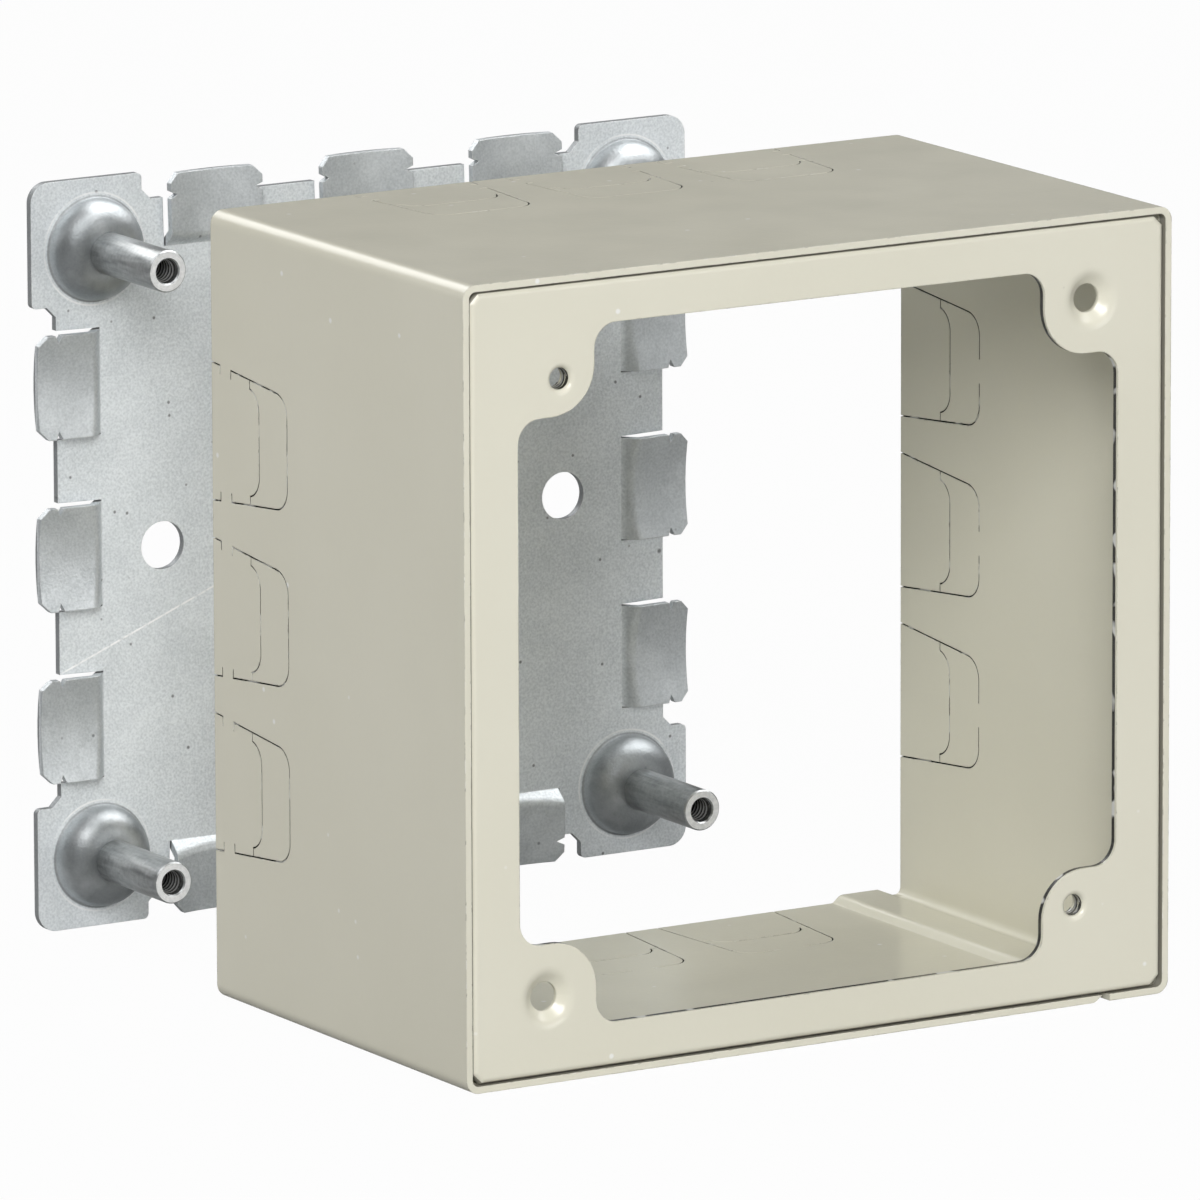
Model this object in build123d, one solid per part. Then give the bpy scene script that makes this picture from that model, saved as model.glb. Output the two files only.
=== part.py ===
from build123d import *
import math
import os

# Surface raceway outlet box: a folded sheet sleeve with an inset front frame,
# and the base plate that the sleeve caps, standing apart behind it.
# Millimetres. X is to the right, Y to the rear, Z up, seen from the front.
# The origin is the centre of the sleeve's bottom face.

# Sleeve
box_width = 117.5
box_height = 115.0
box_depth = 70.0
sleeve_sheet = 1.0
sleeve_bend_inside = 1.0

# Lap seam in the sleeve's bottom, near its right side
lap_flange = 10.0
lap_gap = 1.2
lap_overlap = 5.0
lap_clearance = 0.1
joggle_run = 1.3
joggle_bend_inside = 0.5
lap_front_clearance = 0.5

# Twistouts: U-shaped score lines, one inside the other, open to the rear edge
twistout_count = 3
twistout_pitch = 25.6
twistout_half_width = 10.05
twistout_taper = 0.09
twistout_depth = 21.2
twistout_corner = 3.3
shoulder_depth = 10.7
shoulder_width = 1.3
inner_depth = 13.3
inner_flat = 9.2
tab_start = 2.3
tab_end = 5.4
tab_tick = 1.3
front_tab = 3.6
score_width = 0.22
score_depth = 0.35

# Front frame
frame_sheet = 1.2
frame_fit = 0.1
frame_recess = 0.2
frame_flange = 10.0
frame_edge_radius = 1.0
frame_corner_cut = 1.5
frame_relief = 0.8
frame_side_border = 7.9
frame_end_border = 6.45
ear_size = 12.5
ear_tip_radius = 7.0
ear_root_radius = 3.5

# Cover screw holes: tapped, drawn back into a collar
cover_screw_pitch = 85.6
cover_tap_radius = 1.5
cover_collar_radius = 2.6
cover_collar_length = 2.8
cover_entry_radius = 0.9

# Plate screw holes: dimpled for a flat head, on the same axes as the standoffs
dimple_hole_radius = 2.1
dimple_rim_radius = 3.9
dimple_depth = 1.4
dimple_land = 0.6
dimple_rim_round = 2.2
dimple_rim = 1.6

# Base plate: square, and clear of the sleeve that caps it
plate_clearance = 0.75
plate_screw_inset = 10.5
plate_sheet = 1.2
plate_corner_radius = 3.0
lobe_length = 18.5
edge_recess = 4.0
lobe_step = 2.5
lobe_end_radius = 0.8
mounting_pitch = 68.6
mounting_hole_radius = 3.6

# Tongues: lanced on three sides, raised on a sloping riser and curled across
tongue_width = 15.4
tongue_root = 11.25
tongue_tip_setback = 0.4
tongue_lift = 1.25
tongue_tip_lift = 0.7
tongue_curl = 0.95
tongue_riser_angle = 48.0
tongue_bend_radius = 1.5
tongue_tip_chamfer = 1.4
nick_offset = 0.5
nick_width = 1.1
nick_depth = 1.2
slot_root = 0.25
slot_mouth = 0.45

# Domes under the standoffs
dome_radius = 7.5
dome_height = 4.5
dome_crown_radius = 3.4
dome_foot_radius = 0.5
dome_rim = 1.2

# Standoffs: tapped through and swaged behind the dome's crown
standoff_radius = 3.1
standoff_length = 17.1
standoff_tap_radius = 1.8
standoff_mouth_radius = 2.0
standoff_tip_break = 0.2
standoff_shank_radius = 2.5
standoff_shank_fit = 0.05
standoff_swage_radius = 3.0
standoff_swage_height = 0.8

# Where the plate stands, as the photograph shows it taken off
plate_gap = 49.0
plate_shift_x = -5.0

# How far a cutting tool runs past the face it enters or leaves
overcut = 1.0

# How near two drawn points count as one
same = 0.01

front_y = -box_depth / 2
rear_y = box_depth / 2
centre_z = box_height / 2
frame_width = box_width - 2 * (sleeve_sheet + frame_fit)
frame_height = box_height - 2 * (sleeve_sheet + frame_fit)
frame_front_y = front_y + frame_recess
opening_width = box_width - 2 * (sleeve_sheet + frame_side_border)
opening_height = box_height - 2 * (sleeve_sheet + frame_end_border)
plate_side = min(box_width, box_height) - 2 * (sleeve_sheet + plate_clearance)
plate_screw_pitch = plate_side - 2 * plate_screw_inset
tongue_root_place = plate_side / 2 - tongue_root
tongue_tip_place = plate_side / 2 - tongue_tip_setback
flange_end_x = box_width / 2 - lap_flange
joggle_top_x = flange_end_x - lap_gap
joggle_foot_x = joggle_top_x - joggle_run
strip_end_x = flange_end_x + lap_overlap
plate_front_y = rear_y + plate_gap
side_line_end = twistout_depth - 2 * twistout_corner


def facing_plane(y, x=0.0, z=0.0):
    """A plane across the box that faces the viewer, with its normal to the front."""
    return Plane(origin=(x, y, z), x_dir=(1, 0, 0), z_dir=(0, -1, 0))


def turned(profile):
    """Turn a closed profile of (radius, height) points about the local Z axis."""
    return revolve(Plane.XZ * make_face(Polyline(*profile, close=True)), axis=Axis.Z)


def square_pattern(pitch):
    """The four corners of a square, as local X and Y."""
    return [(i * pitch / 2, k * pitch / 2) for i in (-1, 1) for k in (-1, 1)]


def side_places():
    """The places of the twistouts and tongues along one side, from its middle."""
    middle = (twistout_count - 1) / 2
    return [(number - middle) * twistout_pitch for number in range(twistout_count)]


# Sleeve


def strip_line(inset):
    """The folded strip's line at an inset from its outer face, joggled end first."""
    left = -box_width / 2 + inset
    right = box_width / 2 - inset
    top = box_height - inset
    rise = sleeve_sheet + lap_clearance
    shift = -inset * math.tan(math.atan2(rise, joggle_run) / 2)
    corner = sleeve_bend_inside + sleeve_sheet - inset
    joggle_top = joggle_bend_inside + inset
    joggle_foot = joggle_bend_inside + sleeve_sheet - inset
    return FilletPolyline(
        (strip_end_x, rise + inset),
        (joggle_top_x + shift, rise + inset),
        (joggle_foot_x + shift, inset),
        (left, inset),
        (left, top),
        (right, top),
        (right, inset),
        (flange_end_x, inset),
        radius=[joggle_top, joggle_foot, corner, corner, corner, corner],
    )


def sleeve_profile():
    """The folded strip's section, closed across both of its ends."""
    outer = strip_line(0)
    inner = strip_line(sleeve_sheet)
    return make_face([outer, Line(outer @ 1, inner @ 1), inner, Line(inner @ 0, outer @ 0)])


def outline_half_width(depth):
    """Half the width of the twistout's outline at a depth from the rear edge."""
    return twistout_half_width - twistout_taper * depth


def side_line(side, start, end):
    """A stretch of the outline's left or right side line."""
    first = (side * outline_half_width(start), start)
    last = (side * outline_half_width(end), end)
    return Line(first, last)


def front_line(side, inner_end):
    """One half of the outline: its rounded corner and half its front line."""
    return FilletPolyline(
        (side * outline_half_width(side_line_end), side_line_end),
        (side * outline_half_width(twistout_depth), twistout_depth),
        (side * inner_end, twistout_depth),
        radius=twistout_corner,
    )


def inner_line():
    """The smaller outline, which bulges forward between two shoulders."""
    half = outline_half_width(shoulder_depth)
    shoulder = half - shoulder_width
    flat = inner_flat / 2
    front = Line((-flat, inner_depth), (flat, inner_depth))
    right = TangentArc((flat, inner_depth), (shoulder, shoulder_depth), tangent=(1, 0))
    left = TangentArc((-flat, inner_depth), (-shoulder, shoulder_depth), tangent=(-1, 0))
    right_tick = Line((shoulder, shoulder_depth), (half, shoulder_depth))
    left_tick = Line((-shoulder, shoulder_depth), (-half, shoulder_depth))
    return [left_tick, left, front, right, right_tick]


def tab_ticks(side):
    """The short cuts across the outline at both ends of a tab."""
    ticks = []
    for depth in (tab_start, tab_end):
        half = outline_half_width(depth)
        ticks.append(Line((side * half, depth), (side * (half - tab_tick), depth)))
    return ticks


def outer_marks():
    """Score lines on the outside: broken where the tabs hold the side lines."""
    lines = inner_line()
    for side in (-1, 1):
        lines.append(side_line(side, -overcut, tab_start))
        lines.append(side_line(side, tab_end, side_line_end))
        lines.append(front_line(side, 0))
        lines += tab_ticks(side)
    return trace(lines, score_width)


def inner_marks():
    """Score lines on the inside: unbroken sides, and a tab in the front line."""
    lines = inner_line()
    for side in (-1, 1):
        lines.append(side_line(side, -overcut, side_line_end))
        lines.append(front_line(side, front_tab / 2))
    return trace(lines, score_width)


def wall_planes():
    """Each wall's outer face: origin mid rear edge, local Y towards the front."""
    half = box_width / 2
    places = [
        ((-half, rear_y, centre_z), (-1, 0, 0)),
        ((half, rear_y, centre_z), (1, 0, 0)),
        ((0, rear_y, box_height), (0, 0, 1)),
        ((0, rear_y, 0), (0, 0, -1)),
    ]
    planes = []
    for origin, normal in places:
        across = Vector(0, -1, 0).cross(Vector(*normal))
        planes.append(Plane(origin=origin, x_dir=across, z_dir=normal))
    return planes


def twistout_tools():
    """Thin solids that cut every score line, from both faces of each wall."""
    outside = extrude(outer_marks(), score_depth + overcut)
    inside = extrude(inner_marks(), score_depth + overcut)
    tools = []
    for wall in wall_planes():
        for across in side_places():
            tools.append(wall * Pos(across, 0, -score_depth) * outside)
            tools.append(wall * Pos(across, 0, -sleeve_sheet - overcut) * inside)
    return tools


def make_sleeve():
    sleeve = extrude(facing_plane(rear_y) * sleeve_profile(), box_depth)
    notch_depth = frame_recess + frame_sheet + lap_front_clearance
    notch_left = joggle_foot_x - joggle_run
    notch_size = (strip_end_x - notch_left + overcut, notch_depth + overcut, 2 * sleeve_sheet)
    notch = Box(*notch_size, align=(Align.MIN, Align.MIN, Align.MIN))
    notch = Pos(notch_left, front_y - overcut, sleeve_sheet) * notch
    return sleeve - [notch, *twistout_tools()]


# Front frame


def opening_outline():
    """The device opening: a square with a rounded ear left in each corner."""
    half_w = opening_width / 2
    half_h = opening_height / 2
    inner_w = half_w - ear_size
    inner_h = half_h - ear_size
    corner = [(half_w, inner_h), (inner_w, inner_h), (inner_w, half_h)]
    corner_radii = [ear_root_radius, ear_tip_radius, ear_root_radius]
    points = []
    for i, k in ((1, 1), (-1, 1), (-1, -1), (1, -1)):
        turned_corner = [(i * x, k * y) for x, y in corner]
        points += turned_corner if i == k else reversed(turned_corner)
    return make_face(FilletPolyline(*points, radius=corner_radii * 4, close=True))


def frame_pan():
    """The face with its four returned flanges, parted at the corners."""
    face = Rectangle(frame_width, frame_height)
    face = chamfer(face.vertices(), frame_corner_cut)
    pan = extrude(face, -frame_flange)
    pan = fillet(pan.faces().sort_by(Axis.Z)[-1].edges(), frame_edge_radius)
    inner = Rectangle(frame_width - 2 * frame_sheet, frame_height - 2 * frame_sheet)
    pan -= Pos(0, 0, -frame_sheet) * extrude(inner, -frame_flange)
    relief = 2 * (frame_sheet + frame_relief)
    notch = Pos(0, 0, -frame_sheet) * extrude(Rectangle(relief, relief), -frame_flange)
    return pan - [Pos(i * frame_width, k * frame_height) * notch for i, k in square_pattern(1)]


def flange_gap_at_lap():
    """Clears the bottom flange where the sleeve's lap strip runs."""
    start = joggle_foot_x - joggle_run
    size = (frame_width / 2 - start, 3 * frame_sheet, frame_flange)
    gap = Box(*size, align=(Align.MIN, Align.CENTER, Align.MAX))
    return Pos(start, -frame_height / 2, -frame_sheet) * gap


def collar():
    """A screw hole drawn back into a collar, with a rounded mouth."""
    profile = [
        (cover_tap_radius, 0),
        (cover_collar_radius, 0),
        (cover_collar_radius, -cover_collar_length),
        (cover_tap_radius, -cover_collar_length),
    ]
    ring = turned(profile)
    mouth = ring.edges().filter_by(GeomType.CIRCLE).group_by(Axis.Z)[-1].sort_by(SortBy.RADIUS)[0]
    return fillet(mouth, cover_entry_radius)


def dimple():
    """The formed seat for a flat head: the sheet follows the cone backwards."""
    slope = math.atan2(dimple_rim_radius - dimple_hole_radius, dimple_depth)
    back_shift_r = frame_sheet * math.cos(slope)
    back_shift_d = frame_sheet * math.sin(slope)
    back_rim = dimple_rim_radius + back_shift_r - (frame_sheet - back_shift_d) * math.tan(slope)
    end_depth = dimple_depth + dimple_land
    back_foot = dimple_hole_radius + back_shift_r - (end_depth - dimple_depth - back_shift_d) * math.tan(slope)
    outer = dimple_rim_radius + dimple_rim
    profile = [
        (outer, 0),
        (dimple_rim_radius, 0),
        (dimple_hole_radius, -dimple_depth),
        (dimple_hole_radius, -end_depth),
        (back_foot, -end_depth),
        (back_rim, -frame_sheet),
        (outer, -frame_sheet),
    ]
    ring = turned(profile)
    rim = ring.edges().filter_by(GeomType.CIRCLE).group_by(Axis.Z)[-1].sort_by(SortBy.RADIUS)[0]
    return fillet(rim, dimple_rim_round)


def make_front_frame():
    frame = frame_pan()
    frame -= extrude(opening_outline(), frame_sheet + overcut, both=True)
    frame -= flange_gap_at_lap()
    for side in (-1, 1):
        tap = side * cover_screw_pitch / 2
        frame -= Pos(-tap, tap) * Cylinder(cover_collar_radius, 3 * frame_sheet)
        frame += Pos(-tap, tap) * collar()
        screw = side * plate_screw_pitch / 2
        frame -= Pos(screw, screw) * Cylinder(dimple_rim_radius + dimple_rim, 3 * frame_sheet)
        frame += Pos(screw, screw) * dimple()
    return facing_plane(frame_front_y, 0, centre_z) * frame


# Base plate, in its own plane: local X right, local Y up, local Z to the front


def plate_blank():
    """The flat blank: corner lobes joined by edges that stand back."""
    half = plate_side / 2
    inner = half - lobe_length
    slope = edge_recess - lobe_step
    blank = RectangleRounded(plate_side, plate_side, plate_corner_radius)
    recess = make_face(
        Polyline(
            (-inner, half + overcut),
            (-inner, half - lobe_step),
            (-inner + slope, half - edge_recess),
            (inner - slope, half - edge_recess),
            (inner, half - lobe_step),
            (inner, half + overcut),
            close=True,
        )
    )
    for quarter in range(4):
        blank -= Rot(0, 0, 90 * quarter) * recess
    ends = [v for v in blank.vertices() if abs(max(abs(v.X), abs(v.Y)) - half) < same]
    ends = [v for v in ends if abs(min(abs(v.X), abs(v.Y)) - inner) < same]
    return extrude(fillet(ends, lobe_end_radius), -plate_sheet)


def tongue_plan():
    """The tongue seen from the front: nicks beside the plate's edge, cut corners."""
    half = tongue_width / 2
    tip = tongue_tip_place
    nick = plate_side / 2 - edge_recess + nick_offset
    right = [
        (half, tongue_root_place),
        (half, nick - nick_width / 2),
        (half - nick_depth, nick),
        (half, nick + nick_width / 2),
        (half, tip - tongue_tip_chamfer),
        (half - tongue_tip_chamfer, tip),
    ]
    left = [(-x, y) for x, y in reversed(right)]
    return make_face(Polyline(*right, *left, close=True))


def curled_block(inset):
    """The block below the blade's face, or below its back when inset by the sheet."""
    half = tongue_width / 2
    radius = (half**2 + tongue_curl**2) / (2 * tongue_curl)
    side = half + overcut
    top = tongue_lift - inset
    side_top = top + radius - math.sqrt(radius**2 - side**2)
    bottom = -3 * plate_sheet
    crest = ThreePointArc((side, side_top), (0, top), (-side, side_top))
    rest = Polyline((-side, side_top), (-side, bottom), (side, bottom), (side, side_top))
    across = Plane(origin=(0, tongue_root_place, 0), x_dir=(1, 0, 0), z_dir=(0, -1, 0))
    section = across * make_face([crest, rest])
    fall = Vector(0, tongue_tip_place - tongue_root_place, tongue_tip_lift - tongue_lift)
    return extrude(section, fall.length + plate_sheet, dir=fall.normalized())


def riser_block(inset):
    """The block outwards of the riser's face, or of its back when inset by the sheet."""
    angle = math.radians(tongue_riser_angle)
    foot = tongue_root_place + inset / math.sin(angle)
    low = -4 * plate_sheet
    high = tongue_lift + tongue_curl + 2 * overcut
    end = tongue_tip_place + 3 * overcut
    outline = Polyline(
        (foot + low / math.tan(angle), low),
        (foot + high / math.tan(angle), high),
        (end, high),
        (end, low),
        close=True,
    )
    return extrude(Plane.YZ * make_face(outline), tongue_width, both=True)


def tongue():
    """A riser and a curled blade, bent from the sheet and trimmed to the plan."""
    body = curled_block(0) & riser_block(0)
    crest = body.faces().filter_by(GeomType.PLANE, reverse=True)
    body = fillet(crest.edges().sort_by(Axis.Y)[0], tongue_bend_radius)
    body -= curled_block(plate_sheet) & riser_block(plate_sheet)
    height = plate_sheet + tongue_lift + tongue_curl + overcut
    return body & Pos(0, 0, -plate_sheet) * extrude(tongue_plan(), height)


def tongue_window():
    """The opening that the tongue leaves in the plate, a little wider at the edge."""
    start = tongue_root_place
    mouth = plate_side / 2 - edge_recess + overcut
    half_root = tongue_width / 2 + slot_root
    half_mouth = tongue_width / 2 + slot_mouth
    outline = Polyline(
        (-half_root, start),
        (half_root, start),
        (half_mouth, mouth),
        (-half_mouth, mouth),
        close=True,
    )
    return extrude(make_face(outline), 2 * plate_sheet, both=True)


def dome():
    """A pressed dome with a flat crown, the same sheet all over."""
    span = dome_radius - dome_crown_radius
    arc_radius = (span**2 + dome_height**2) / (2 * dome_height)
    inner_radius = arc_radius - plate_sheet
    arc_centre = dome_height - arc_radius
    hole = standoff_shank_radius
    rim = dome_radius + dome_rim
    back = -plate_sheet
    inner_foot = dome_crown_radius + math.sqrt(inner_radius**2 - (back - arc_centre) ** 2)
    under = dome_height - plate_sheet
    crown = Polyline((dome_crown_radius, under), (hole, under), (hole, dome_height), (dome_crown_radius, dome_height))
    outer_arc = TangentArc((dome_crown_radius, dome_height), (dome_radius, 0), tangent=(1, 0))
    flat_rim = Polyline((dome_radius, 0), (rim, 0), (rim, back), (inner_foot, back))
    inner_arc = TangentArc((dome_crown_radius, under), (inner_foot, back), tangent=(1, 0))
    section = make_face([crown, outer_arc, flat_rim, inner_arc])
    foot = [v for v in section.vertices() if abs(v.X - dome_radius) + abs(v.Y) < same]
    section = fillet(foot, dome_foot_radius)
    return revolve(Plane.XZ * section, axis=Axis.Z)


def make_base_plate():
    plate = plate_blank()
    side_turns = [Rot(0, 0, 90 * quarter) for quarter in range(4)]
    window = tongue_window()
    plate -= [turn * Pos(across, 0) * window for turn in side_turns for across in side_places()]
    for side in (-1, 1):
        hole = Cylinder(mounting_hole_radius, 4 * plate_sheet)
        plate -= Pos(side * mounting_pitch / 2, 0) * hole
    boss = dome()
    for x, y in square_pattern(plate_screw_pitch):
        plate -= Pos(x, y) * Cylinder(dome_radius + dome_rim, 4 * plate_sheet)
        plate += Pos(x, y) * boss
    blade = tongue()
    return plate + [turn * Pos(across, 0) * blade for turn in side_turns for across in side_places()]


def make_standoff():
    """One turned standoff: a tapped tube, its shank and the swaged end."""
    seat = dome_height
    tip = seat + standoff_length
    crown_back = seat - plate_sheet
    end = crown_back - standoff_swage_height
    mouth = standoff_mouth_radius - standoff_tap_radius
    shank = standoff_shank_radius - standoff_shank_fit
    profile = [
        (standoff_tap_radius, end),
        (standoff_swage_radius, end),
        (standoff_swage_radius, crown_back),
        (shank, crown_back),
        (shank, seat),
        (standoff_radius, seat),
        (standoff_radius, tip - standoff_tip_break),
        (standoff_radius - standoff_tip_break, tip),
        (standoff_mouth_radius, tip),
        (standoff_tap_radius, tip - mouth),
    ]
    return turned(profile)


def plate_place():
    """Where the plate's own plane stands: upright on the same surface as the box."""
    return facing_plane(plate_front_y, plate_shift_x, plate_side / 2)


def standoffs():
    """The four standoffs, named by their corner as seen from the front."""
    sides = {-1: "left", 1: "right"}
    levels = {-1: "lower", 1: "upper"}
    body = make_standoff()
    named = {}
    for x, y in square_pattern(plate_screw_pitch):
        name = "standoff_" + levels[math.copysign(1, y)] + "_" + sides[math.copysign(1, x)]
        named[name] = plate_place() * Pos(x, y) * body
    return named


parts = {
    "sleeve": make_sleeve(),
    "front_frame": make_front_frame(),
    "base_plate": plate_place() * make_base_plate(),
}
parts.update(standoffs())

os.makedirs("parts", exist_ok=True)
for name, shape in parts.items():
    export_step(shape, "parts/" + name + ".step")
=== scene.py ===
import math

import bpy
from mathutils import Matrix, Vector


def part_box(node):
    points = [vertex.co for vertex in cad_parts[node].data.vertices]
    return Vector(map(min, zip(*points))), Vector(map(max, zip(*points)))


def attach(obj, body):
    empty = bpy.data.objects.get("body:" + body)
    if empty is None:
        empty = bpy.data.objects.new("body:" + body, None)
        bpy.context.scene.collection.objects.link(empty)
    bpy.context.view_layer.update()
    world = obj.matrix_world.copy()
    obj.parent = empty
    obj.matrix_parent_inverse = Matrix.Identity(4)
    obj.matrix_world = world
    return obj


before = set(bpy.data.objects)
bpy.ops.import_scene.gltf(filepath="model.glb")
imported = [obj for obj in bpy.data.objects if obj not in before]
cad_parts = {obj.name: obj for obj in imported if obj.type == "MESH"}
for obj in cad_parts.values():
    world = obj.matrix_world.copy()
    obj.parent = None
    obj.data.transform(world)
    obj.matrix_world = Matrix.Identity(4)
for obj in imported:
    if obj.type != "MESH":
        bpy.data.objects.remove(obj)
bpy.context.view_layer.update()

# All lengths are in metres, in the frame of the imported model.

# Camera, fitted to the edges of the box in the photograph
camera_place = Vector((-1.05875, -1.7141, 0.4798))
camera_forward = Vector((0.5089, 0.8361, -0.2049))
camera_right = Vector((0.8538, -0.5205, -0.0032))
camera_lens = 431.67
camera_sensor = 36.0

# Sheets and their outer corners, as the solids have them
sleeve_sheet = 0.001
sleeve_corner = 0.002
frame_sheet = 0.0012
frame_corner = 0.001
plate_sheet = 0.0012

# Margins that keep the cuts' colours off the faces beside them
face_margin = 0.00006
front_margin = 0.0001
end_margin = 0.0003
sheet_fade = 0.0001

# Limits of the cuts, which are painted dark as shade: the sleeve's lap seam, which has none, the groove round
# the frame, the rolled front edge of the frame's opening, and the frame's border
seam_start_x = 0.039
seam_height = 0.003
groove_depth = 0.0016
rolled_edge = 0.00045
outer_edge = 0.0009
opening_start = 0.005

# Enamel
enamel_light = (0.72, 0.7, 0.59, 1)
enamel_deep = (0.7, 0.68, 0.568, 1)
enamel_dust = (0.5, 0.47, 0.39, 1)
bare_light = (0.86, 0.86, 0.84, 1)
bare_dark = (0.12, 0.11, 0.09, 1)
# Painted shade: near black in the score lines and on the cut edges of the frame's opening
cut_shade_dark = (0.03, 0.027, 0.022, 1)
# Painted shade: dark in the gap between the sleeve and the front frame
gap_shade_dark = (0.17, 0.16, 0.13, 1)
enamel_edge_radius = 0.00026
enamel_wave = 0.0001
enamel_peel = 0.00001
frame_pattern_shift = 0.4

# Zinc-coated sheet
zinc_light = (0.82, 0.857, 0.875, 1)
zinc_deep = (0.585, 0.622, 0.642, 1)
zinc_burnished = (0.27, 0.288, 0.296, 1)
zinc_polished = (0.56, 0.58, 0.59, 1)
zinc_speck_and_shade = (0.1, 0.105, 0.11, 1)
zinc_rub = (0.96, 0.965, 0.965, 1)
zinc_edge_radius = 0.00022
zinc_cloud = 0.00009
zinc_grain = 0.00004
zinc_mark = 0.00001
scratch_start = (-0.0571, 0.0382)
scratch_end = (-0.0272, 0.0501)
scratch_width = 0.0002
burnish_full = 0.0073
burnish_end = 0.0079
# The dark rim is painted shade at the foot of each dome
rim_radius = 0.00775
rim_fade = (0.00022, 0.00006)
ring_radius = 0.0083
ring_fade = (0.0002, 0.00005)
raised_start = 0.0044
raised_full = 0.0038

# Turned steel
steel_light = (0.5, 0.515, 0.515, 1)
steel_deep = (0.3, 0.312, 0.315, 1)
steel_face = (0.9, 0.9, 0.9, 1)
steel_ring = (0.7, 0.71, 0.71, 1)
steel_draw = 0.000012
steel_grain = 0.000006
steel_turning = 0.00002

# Threads
# Painted shade and highlight: near black roots and flanks, a bright crest
thread_root_shade = (0.03, 0.03, 0.03, 1)
thread_flank_shade = (0.1, 0.1, 0.098, 1)
thread_crest_highlight = (0.75, 0.75, 0.74, 1)
thread_pitch = 0.00079
thread_clearance = 0.00004
thread_steps = 72
standoff_pitch = 0.0905
standoff_bore_radius = 0.0018
standoff_thread_depth = 0.00024
standoff_lead_in = 0.8
cover_hole_pitch = 0.0856
cover_bore_radius = 0.0015
cover_thread_depth = 0.0002
cover_thread_start = 0.0011
cover_thread_length = 0.0015

# Surround
floor_half = 6.0
floor_drop = 0.0001
floor_colour = (0.42, 0.42, 0.42, 1)
floor_seen = 0.97
surround_colour = (1.0, 1.0, 0.98, 1)
surround_low = 0.09
surround_high = 0.14
surround_seen = 1.0
surround_mirrored = 0.05

# Soft boxes, aimed at the object's middle: place, size, power in watts, whether
# each lights the surfaces, and whether it shows in their gloss
object_middle = Vector((0.0, 0.02, 0.06))
soft_boxes = {
    "key_box": ((-1.18, -1.8, 1.31), 1.2, 53.0, True, False),
    "high_card": ((-0.88, -1.5, 1.83), 1.9, 30.0, False, True),
    "shine_card": ((-1.1, -1.7, 1.5), 1.0, 30.0, False, True),
    "front_box": ((0.85, -2.2, 0.44), 1.0, 9.0, True, True),
    "left_box": ((-0.55, 0.4, 0.35), 0.4, 0.7, True, True),
    "top_box": ((0.7, 0.2, 1.4), 1.3, 8.0, True, True),
    "overhead_card": ((0.75, 0.0, 1.3), 1.5, 23.0, False, True),
    "back_card": ((-0.2, 1.5, 1.15), 1.0, 11.0, False, True),
}


def corners_of(node):
    """Lowest and highest corner of a CAD node as vectors."""
    low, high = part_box(node)
    return Vector(low), Vector(high)


class Nodes:
    """A node tree, with short ways to add and join nodes."""

    def __init__(self, tree):
        self.tree = tree

    def add(self, kind, **inputs):
        """A new node; underscores in an input's name stand for spaces."""
        node = self.tree.nodes.new(kind)
        for name, value in inputs.items():
            self.set(node.inputs[name.replace("_", " ")], value)
        return node

    def set(self, socket, value):
        """Join a socket to another node's output, or give it a constant."""
        if isinstance(value, bpy.types.NodeSocket):
            self.tree.links.new(value, socket)
        else:
            socket.default_value = value

    def math(self, operation, *values):
        node = self.add("ShaderNodeMath")
        node.operation = operation
        for socket, value in zip(node.inputs, values):
            self.set(socket, value)
        return node.outputs[0]

    def times(self, first, *others):
        """The product of two or more values."""
        for other in others:
            first = self.math("MULTIPLY", first, other)
        return first

    def off(self, value, place):
        """How far a value is from a place, whichever side it lies on."""
        return self.math("ABSOLUTE", self.math("SUBTRACT", value, place))

    def hypotenuse(self, first, second):
        return self.math("SQRT", self.math("ADD", self.times(first, first), self.times(second, second)))

    def above(self, value, limit):
        """1 where a value is over a limit, else 0."""
        return self.math("GREATER_THAN", value, limit)

    def below(self, value, limit):
        """1 where a value is under a limit, else 0."""
        return self.math("LESS_THAN", value, limit)

    def between(self, value, low, high):
        """1 where a value lies between two limits, else 0."""
        return self.times(self.above(value, low), self.below(value, high))

    def ramp(self, value, low, high, to_low=0.0, to_high=1.0):
        """Map a stretch of a value to another one, held at both ends."""
        node = self.add("ShaderNodeMapRange", Value=value)
        for name, number in (("From Min", low), ("From Max", high), ("To Min", to_low), ("To Max", to_high)):
            node.inputs[name].default_value = number
        return node.outputs["Result"]

    def line(self, value, place, fade):
        """1 where a value is at a place, and less up to the fade's first distance."""
        return self.ramp(self.off(value, place), *fade)

    def blend(self, share, first, second):
        """Mix two colours by a share from 0 to 1."""
        node = self.add("ShaderNodeMix")
        node.data_type = "RGBA"
        self.set(node.inputs["Factor"], share)
        self.set(node.inputs[6], first)
        self.set(node.inputs[7], second)
        return node.outputs[2]


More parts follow.
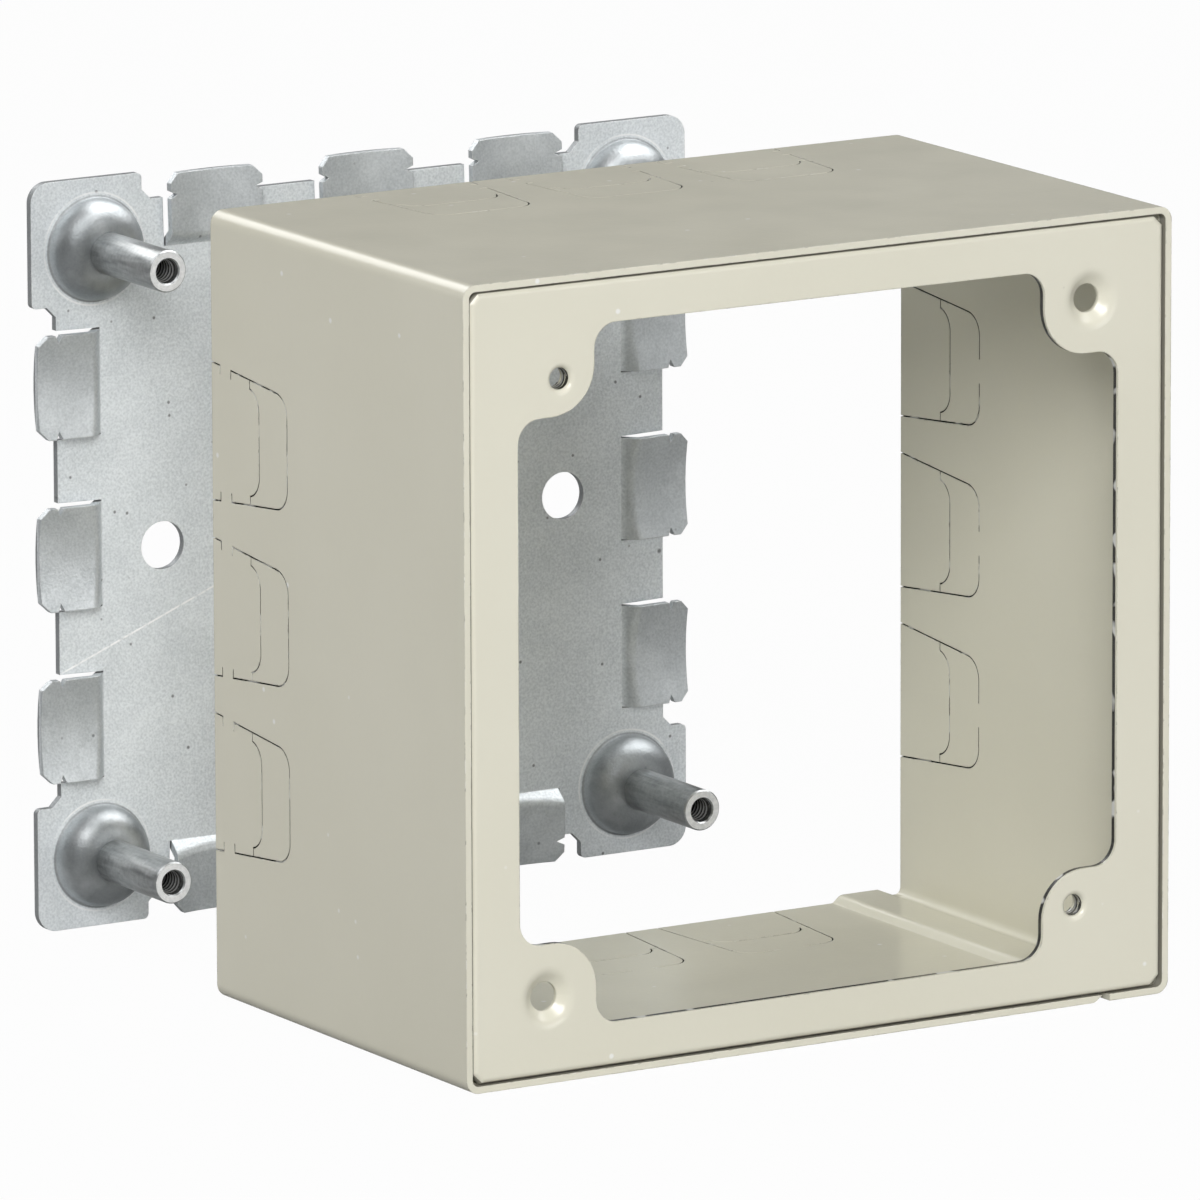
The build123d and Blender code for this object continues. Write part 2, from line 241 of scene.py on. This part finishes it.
class Surface(Nodes):
    """A material, with the patterns and bumps that the finishes share."""

    def __init__(self, name):
        self.material = bpy.data.materials.new(name)
        self.material.use_nodes = True
        super().__init__(self.material.node_tree)
        self.shader = self.tree.nodes["Principled BSDF"]
        self.coordinates = self.add("ShaderNodeTexCoord")
        self.place = self.coordinates.outputs["Object"]

    def axis(self, number):
        """One of the object's coordinates."""
        return self.add("ShaderNodeSeparateXYZ", Vector=self.place).outputs[number]

    def rearward(self):
        """How far the surface faces the rear: 1 straight to it, -1 straight away."""
        return self.add("ShaderNodeSeparateXYZ", Vector=self.coordinates.outputs["Normal"]).outputs[1]

    def own_normal(self):
        return self.add("ShaderNodeNewGeometry").outputs["Normal"]

    def scaled(self, factors):
        """The object's coordinates, stretched by a factor along each axis."""
        node = self.add("ShaderNodeMapping", Vector=self.place)
        node.inputs["Scale"].default_value = factors
        return node.outputs[0]

    def shift_patterns(self, seed):
        """Move all later patterns, so that two pieces don't show the same one."""
        node = self.add("ShaderNodeMapping", Vector=self.place)
        node.inputs["Location"].default_value = (seed, seed * 0.7, seed * 0.3)
        self.place = node.outputs[0]

    def noise(self, scale, detail=2.0, where=None):
        where = where or self.place
        return self.add("ShaderNodeTexNoise", Vector=where, Scale=scale, Detail=detail).outputs[0]

    def specks(self, scale, radius, kept, where=None):
        """Small round spots, one in some of the cells of a pattern."""
        cells = self.add("ShaderNodeTexVoronoi", Vector=where or self.place, Scale=scale)
        near = self.ramp(cells.outputs["Distance"], radius, radius * 0.5)
        chance = self.add("ShaderNodeSeparateColor", Color=cells.outputs["Color"]).outputs[0]
        return self.times(near, self.below(chance, kept))

    def scratch(self, start, end, width):
        """A straight fine line between two points (x, z) of a face across Y."""
        length = math.dist(start, end)
        along_x, along_z = (end[0] - start[0]) / length, (end[1] - start[1]) / length
        from_x = self.math("SUBTRACT", self.axis(0), start[0])
        from_z = self.math("SUBTRACT", self.axis(2), start[1])
        along = self.math("ADD", self.times(from_x, along_x), self.times(from_z, along_z))
        aside = self.math("SUBTRACT", self.times(from_x, along_z), self.times(from_z, along_x))
        near = self.line(aside, 0.0, (width, width * 0.3))
        inside = self.times(self.ramp(along, 0.0, length * 0.06), self.ramp(along, length, length * 0.9))
        broken = self.ramp(self.noise(700.0), 0.3, 0.48)
        return self.times(near, inside, broken)

    def softened(self, radius):
        """The normal with its edges rounded over a small radius."""
        node = self.add("ShaderNodeBevel")
        node.samples = 2
        node.inputs["Radius"].default_value = radius
        return node.outputs[0]

    def edges(self, softened):
        """How far a softened normal turns off the face's own: 1 along sharp edges."""
        node = self.add("ShaderNodeVectorMath")
        node.operation = "DOT_PRODUCT"
        self.set(node.inputs[0], softened)
        self.set(node.inputs[1], self.own_normal())
        return self.ramp(node.outputs["Value"], 0.985, 0.9)

    def finish(self, colour, metallic, roughness):
        """Set the shader's main inputs."""
        for name, value in (("Base Color", colour), ("Metallic", metallic), ("Roughness", roughness)):
            self.set(self.shader.inputs[name], value)

    def bumps(self, normal, *layers):
        """Lay bumps of (height, metres) over each other."""
        for height, distance in layers:
            node = self.add("ShaderNodeBump", Height=height, Normal=normal)
            node.inputs["Distance"].default_value = distance
            normal = node.outputs[0]
        self.set(self.shader.inputs["Normal"], normal)


def inset(s, node, corner):
    """How deep a place lies inside a node's outline, which is rounded across Y."""
    low, high = corners_of(node)
    middle, half = (low + high) / 2, (high - low) / 2
    beyond_x = s.math("SUBTRACT", s.off(s.axis(0), middle.x), half.x - corner)
    beyond_z = s.math("SUBTRACT", s.off(s.axis(2), middle.z), half.z - corner)
    round_the_corner = s.hypotenuse(s.math("MAXIMUM", beyond_x, 0.0), s.math("MAXIMUM", beyond_z, 0.0))
    beyond = s.math("ADD", round_the_corner, s.math("MINIMUM", s.math("MAXIMUM", beyond_x, beyond_z), 0.0))
    return s.math("SUBTRACT", corner, beyond)


def sleeve_cuts(s):
    """The sleeve's score lines, and the groove round the front frame, which are both painted dark as shade.
    """
    low, high = corners_of("sleeve")
    depth = inset(s, "sleeve", sleeve_corner)
    y = s.axis(1)
    seam = s.times(s.above(s.axis(0), seam_start_x), s.below(s.axis(2), low.z + seam_height))
    walls = s.times(s.between(y, low.y + end_margin, high.y - end_margin), s.math("SUBTRACT", 1.0, seam))
    lines = s.times(s.between(depth, face_margin, sleeve_sheet - face_margin), walls)
    groove = s.between(y, low.y + front_margin, low.y + groove_depth)
    return lines, s.times(s.above(depth, sleeve_sheet - face_margin), groove)


def frame_cuts(s):
    """The cut edges round the frame's opening, and its outer edge beside the sleeve, which are both painted
    dark as shade.
    """
    low, _ = corners_of("front_frame")
    depth = inset(s, "front_frame", frame_corner)
    y = s.axis(1)
    across = s.math("ABSOLUTE", s.rearward())
    sheet = s.between(y, low.y + front_margin, low.y + frame_sheet + front_margin)
    opening = s.times(s.above(depth, opening_start), s.below(across, 0.3), s.above(y, low.y + rolled_edge))
    outer = s.times(s.below(depth, outer_edge), s.below(across, 0.7))
    return s.times(opening, sheet), s.times(outer, sheet)


def make_enamel(node, seed):
    """Glossy ivory enamel: orange peel, faint drifts of tint, dust nibs, and bare
    metal in flecks along the sheared edges and the score lines. Painted shade makes the score
    lines and the cut edges of the frame's opening near black, and the gap round the frame dark."""
    s = Surface(node + "_enamel")
    # Masks for the painted shade in the cuts and in the gap round the frame
    cuts, gap_shade = sleeve_cuts(s) if node == "sleeve" else frame_cuts(s)
    s.shift_patterns(seed)
    drift = s.ramp(s.noise(22.0), 0.35, 0.65)
    dust = s.specks(scale=150.0, radius=0.04, kept=0.12)
    nibs = s.specks(scale=170.0, radius=0.08, kept=0.4)
    tint = s.blend(drift, enamel_deep, enamel_light)
    tint = s.blend(s.times(dust, 0.7), tint, enamel_dust)
    tint = s.blend(s.times(nibs, 0.8), tint, bare_light)
    rounded = s.softened(enamel_edge_radius)
    worn = s.times(s.edges(rounded), s.ramp(s.noise(620.0, 3.0), 0.53, 0.61))
    bare = s.blend(s.ramp(s.noise(900.0, 1.0), 0.45, 0.55), bare_dark, bare_light)
    tint = s.blend(s.times(worn, 0.8), tint, bare)
    # Painted shade in the gap between the sleeve and the front frame
    tint = s.blend(s.times(gap_shade, 0.8), tint, gap_shade_dark)
    # Painted shade: the score lines and the cut edges of the frame's opening go near black, broken by light
    # flecks of bare metal
    broken = s.ramp(s.noise(260.0, 1.0), 0.56, 0.62, 0.0, 0.8)
    tint = s.blend(cuts, tint, s.blend(broken, cut_shade_dark, bare_light))
    s.finish(tint, 0.0, s.ramp(s.noise(60.0), 0.3, 0.7, 0.19, 0.26))
    s.bumps(rounded, (s.noise(70.0, 1.0), enamel_wave), (s.noise(900.0, 1.0), enamel_peel))
    return s.material


def from_standoffs(s):
    """How far a place is from the axis of the nearest standoff."""
    low, high = corners_of("base_plate")
    middle = (low + high) / 2
    off_x = s.math("SUBTRACT", s.off(s.axis(0), middle.x), standoff_pitch / 2)
    off_z = s.math("SUBTRACT", s.off(s.axis(2), middle.z), standoff_pitch / 2)
    return s.hypotenuse(off_x, off_z)


def zinc_marks(s, from_dome):
    """The long scratch, and the ring that the tool left round each dome."""
    ring = s.line(from_dome, ring_radius, ring_fade)
    ring = s.times(ring, s.ramp(s.noise(150.0, 1.0), 0.4, 0.6, 0.25, 0.8))
    return s.scratch(scratch_start, scratch_end, scratch_width), ring


def zinc_drawn(s, from_dome):
    """Where the press has burnished the zinc: all over the domes, less on the tongues."""
    low, _ = corners_of("base_plate")
    dome = s.ramp(from_dome, burnish_end, burnish_full)
    raised = s.times(s.ramp(s.axis(1), low.y + raised_start, low.y + raised_full), 0.45)
    return s.math("MAXIMUM", dome, raised)


def zinc_sheared(s):
    """The cut edges of the flat sheet."""
    _, high = corners_of("base_plate")
    cut = s.ramp(s.math("ABSOLUTE", s.rearward()), 0.5, 0.3)
    front_of_sheet = high.y - plate_sheet
    return s.times(cut, s.ramp(s.axis(1), front_of_sheet - sheet_fade, front_of_sheet))


def make_zinc(name):
    """Zinc-coated sheet: a fine mottled grain, dark specks, rubbed edges, a long
    scratch, and round each dome the tool's light ring and a dark rim, which is painted shade at its foot."""
    s = Surface(name)
    grain = s.noise(2700.0, 1.0)
    cloud = s.noise(120.0, 4.0)
    tone = s.ramp(s.math("ADD", s.times(grain, 0.8), s.times(cloud, 0.4)), 0.35, 0.79)
    flat = s.scaled((1.0, 0.15, 1.0))
    fine = s.specks(scale=420.0, radius=0.13, kept=0.2, where=flat)
    coarse = s.specks(scale=130.0, radius=0.06, kept=0.3, where=flat)
    colour = s.blend(tone, zinc_deep, zinc_light)
    colour = s.blend(s.times(s.math("MAXIMUM", fine, coarse), 0.8), colour, zinc_speck_and_shade)
    from_dome = from_standoffs(s)
    drawn = zinc_drawn(s, from_dome)
    polished = s.ramp(s.noise(190.0, 3.0), 0.46, 0.7, 0.0, 0.7)
    colour = s.blend(s.times(drawn, 0.85), colour, s.blend(polished, zinc_burnished, zinc_polished))
    # Painted shade: a dark rim round the foot of each dome
    colour = s.blend(s.times(s.line(from_dome, rim_radius, rim_fade), 0.6), colour, zinc_speck_and_shade)
    colour = s.blend(s.times(zinc_sheared(s), 0.7), colour, zinc_speck_and_shade)
    scratch, ring = zinc_marks(s, from_dome)
    marked = s.math("MAXIMUM", scratch, ring)
    rounded = s.softened(zinc_edge_radius)
    rubbed = s.times(s.edges(rounded), s.ramp(s.noise(500.0), 0.42, 0.6, 0.15, 0.9))
    colour = s.blend(s.math("MAXIMUM", marked, rubbed), colour, zinc_rub)
    metallic = s.times(s.ramp(drawn, 0.0, 1.0, 0.35, 0.95), s.math("SUBTRACT", 1.0, scratch))
    s.finish(colour, metallic, s.ramp(tone, 0.0, 1.0, 0.5, 0.42))
    s.bumps(rounded, (cloud, zinc_cloud), (grain, zinc_grain), (marked, zinc_mark))
    return s.material


def make_turned_steel(name):
    """Plated bar: a fine drawn grain along the barrel, and a light end face with
    turning rings."""
    s = Surface(name)
    drawn = s.noise(1900.0, where=s.scaled((1.0, 0.12, 1.0)))
    grain = s.noise(1600.0)
    tone = s.math("ADD", s.times(drawn, 0.6), s.times(grain, 0.4))
    barrel = s.blend(s.ramp(tone, 0.35, 0.65), steel_deep, steel_light)
    face = s.ramp(s.rearward(), -0.9, -0.98)
    outward = s.add("ShaderNodeCombineXYZ", X=from_standoffs(s)).outputs[0]
    rings = s.noise(9000.0, 1.0, outward)
    cut = s.math("ADD", s.times(rings, 0.5), s.times(grain, 0.5))
    end = s.blend(s.ramp(cut, 0.38, 0.62), steel_ring, steel_face)
    roughness = s.math("ADD", s.ramp(tone, 0.35, 0.65, 0.3, 0.4), s.times(face, 0.1))
    s.finish(s.blend(face, barrel, end), s.ramp(face, 0.0, 1.0, 0.9, 0.3), roughness)
    s.bumps(s.own_normal(), (drawn, steel_draw), (grain, steel_grain), (s.times(rings, face), steel_turning))
    return s.material


def make_cut_thread(name):
    """A cut thread with painted shade and a painted highlight: near black in its roots and on its flanks,
    bright along its crest.
    """
    s = Surface(name)
    grain = s.noise(2600.0)
    crest = s.add("ShaderNodeAttribute")
    crest.attribute_name = "crest"
    # Painted shade in the roots and flanks, and a painted highlight along the crest
    root = s.blend(s.ramp(grain, 0.35, 0.65), thread_root_shade, thread_flank_shade)
    colour = s.blend(s.ramp(crest.outputs["Fac"], 0.35, 0.95), root, thread_crest_highlight)
    s.finish(colour, 0.7, s.ramp(grain, 0.3, 0.7, 0.3, 0.42))
    return s.material


def paint(node, material):
    """Give a CAD node one material all over."""
    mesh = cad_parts[node].data
    mesh.materials.clear()
    mesh.materials.append(material)


def make_thread(name, axis_x, axis_z, start, length, radius, depth, material):
    """A helical ridge in a bore that runs along Y, its roots just clear of the wall."""
    last_step = int(length / thread_pitch * thread_steps)
    verts = []
    crests = []
    faces = []
    for step in range(last_step + 1):
        turn = step / thread_steps
        fade = min(1.0, turn, (last_step - step) / thread_steps)
        root = radius - thread_clearance * fade
        crest = radius - depth * fade
        for reach, offset in ((root, -0.5), (crest, 0.0), (root, 0.5)):
            x = axis_x + reach * math.cos(2 * math.pi * turn)
            z = axis_z + reach * math.sin(2 * math.pi * turn)
            verts.append((x, start + (turn + offset) * thread_pitch, z))
            crests.append(0.0 if offset else 1.0)
        if step:
            new = 3 * step
            old = new - 3
            faces += [(old, old + 1, new + 1, new), (old + 1, old + 2, new + 2, new + 1)]
    mesh = bpy.data.meshes.new(name)
    mesh.from_pydata(verts, [], faces)
    mesh.attributes.new("crest", "FLOAT", "POINT").data.foreach_set("value", crests)
    mesh.materials.append(material)
    ridge = bpy.data.objects.new(name, mesh)
    bpy.context.collection.objects.link(ridge)
    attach(ridge, "root")


def make_standoff_threads(material):
    """The threads of the four standoffs."""
    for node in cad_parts:
        if node.startswith("standoff"):
            low, high = corners_of(node)
            middle = (low + high) / 2
            start = low.y + thread_pitch * standoff_lead_in
            length = high.y - low.y - 2 * thread_pitch
            bore = (standoff_bore_radius, standoff_thread_depth)
            make_thread(node + "_thread", middle.x, middle.z, start, length, *bore, material)


def make_cover_threads(material):
    """The threads of the frame's two tapped holes, at opposite corners."""
    low, high = corners_of("front_frame")
    middle = (low + high) / 2
    start = low.y + cover_thread_start
    bore = (cover_bore_radius, cover_thread_depth)
    for side, label in ((-1, "upper_left"), (1, "lower_right")):
        x = middle.x + side * cover_hole_pitch / 2
        z = middle.z - side * cover_hole_pitch / 2
        make_thread("cover_thread_" + label, x, z, start, cover_thread_length, *bore, material)


def show_white(tree, output, lit, seen):
    """Keep a lit shader for the object's light, nearly white where it is looked at,
    and a little so where metal and gloss show it."""
    nodes = Nodes(tree)
    path = nodes.add("ShaderNodeLightPath")
    looked_at = nodes.math("MAXIMUM", path.outputs["Is Camera Ray"], path.outputs["Is Transmission Ray"])
    glossy = path.outputs["Is Glossy Ray"]
    share = nodes.math("MULTIPLY_ADD", glossy, surround_mirrored, nodes.times(looked_at, seen))
    mix = nodes.add("ShaderNodeMixShader")
    white = nodes.add("ShaderNodeEmission")
    for socket, value in zip(mix.inputs, (share, lit.outputs[0], white.outputs[0])):
        nodes.set(socket, value)
    nodes.set(tree.nodes[output].inputs["Surface"], mix.outputs[0])


def make_floor():
    """A plain pale floor that keeps a soft shadow."""
    corners = [(x * floor_half, y * floor_half, -floor_drop) for x, y in ((-1, -1), (1, -1), (1, 1), (-1, 1))]
    mesh = bpy.data.meshes.new("floor")
    mesh.from_pydata(corners, [], [(0, 1, 2, 3)])
    material = bpy.data.materials.new("floor_white")
    material.use_nodes = True
    lit = material.node_tree.nodes["Principled BSDF"]
    lit.inputs["Base Color"].default_value = floor_colour
    lit.inputs["Roughness"].default_value = 0.9
    show_white(material.node_tree, "Material Output", lit, floor_seen)
    mesh.materials.append(material)
    floor = bpy.data.objects.new("floor", mesh)
    bpy.context.collection.objects.link(floor)


def make_world():
    """A pale surround, brighter overhead, and white where it is seen."""
    world = bpy.data.worlds.new("surround")
    bpy.context.scene.world = world
    world.use_nodes = True
    nodes = Nodes(world.node_tree)
    lit = nodes.tree.nodes["Background"]
    heading = nodes.add("ShaderNodeTexCoord").outputs["Generated"]
    rise = nodes.add("ShaderNodeSeparateXYZ", Vector=heading).outputs["Z"]
    nodes.set(lit.inputs["Color"], surround_colour)
    nodes.set(lit.inputs["Strength"], nodes.ramp(rise, 0.1, 0.8, surround_low, surround_high))
    show_white(world.node_tree, "World Output", lit, surround_seen)


def make_soft_box(name, place, size, power, lights, mirrored):
    """A square lamp aimed at the object's middle."""
    light = bpy.data.lights.new(name, "AREA")
    light.size = size
    light.energy = power
    lamp = bpy.data.objects.new(name, light)
    lamp.visible_diffuse = lights
    lamp.visible_glossy = mirrored
    lamp.location = place
    lamp.rotation_euler = (object_middle - Vector(place)).to_track_quat("-Z", "Y").to_euler()
    bpy.context.collection.objects.link(lamp)
    return lamp


def limit_to(lamp, nodes, name):
    """Let a lamp reach only some of the CAD nodes."""
    reached = bpy.data.collections.new(name)
    for node in nodes:
        reached.objects.link(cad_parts[node])
    lamp.light_linking.receiver_collection = reached


def make_camera():
    """The photograph's viewpoint."""
    data = bpy.data.cameras.new("camera")
    data.lens = camera_lens
    data.sensor_width = camera_sensor
    camera = bpy.data.objects.new("camera", data)
    bpy.context.collection.objects.link(camera)
    right = camera_right.normalized()
    back = -camera_forward.normalized()
    turn = Matrix((right, back.cross(right), back)).transposed().to_4x4()
    camera.matrix_world = Matrix.Translation(camera_place) @ turn
    bpy.context.scene.camera = camera


# Finishes
paint("sleeve", make_enamel("sleeve", 0.0))
paint("front_frame", make_enamel("front_frame", frame_pattern_shift))
paint("base_plate", make_zinc("zinc_sheet"))
turned_steel = make_turned_steel("turned_steel")
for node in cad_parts:
    if node.startswith("standoff"):
        paint(node, turned_steel)
cut_thread = make_cut_thread("cut_thread")
make_standoff_threads(cut_thread)
make_cover_threads(cut_thread)

# Studio
make_camera()
make_floor()
make_world()
lamps = {name: make_soft_box(name, *settings) for name, settings in soft_boxes.items()}
limit_to(lamps["shine_card"], ("sleeve", "front_frame"), "enamelled")
bpy.context.scene.view_settings.view_transform = "Standard"
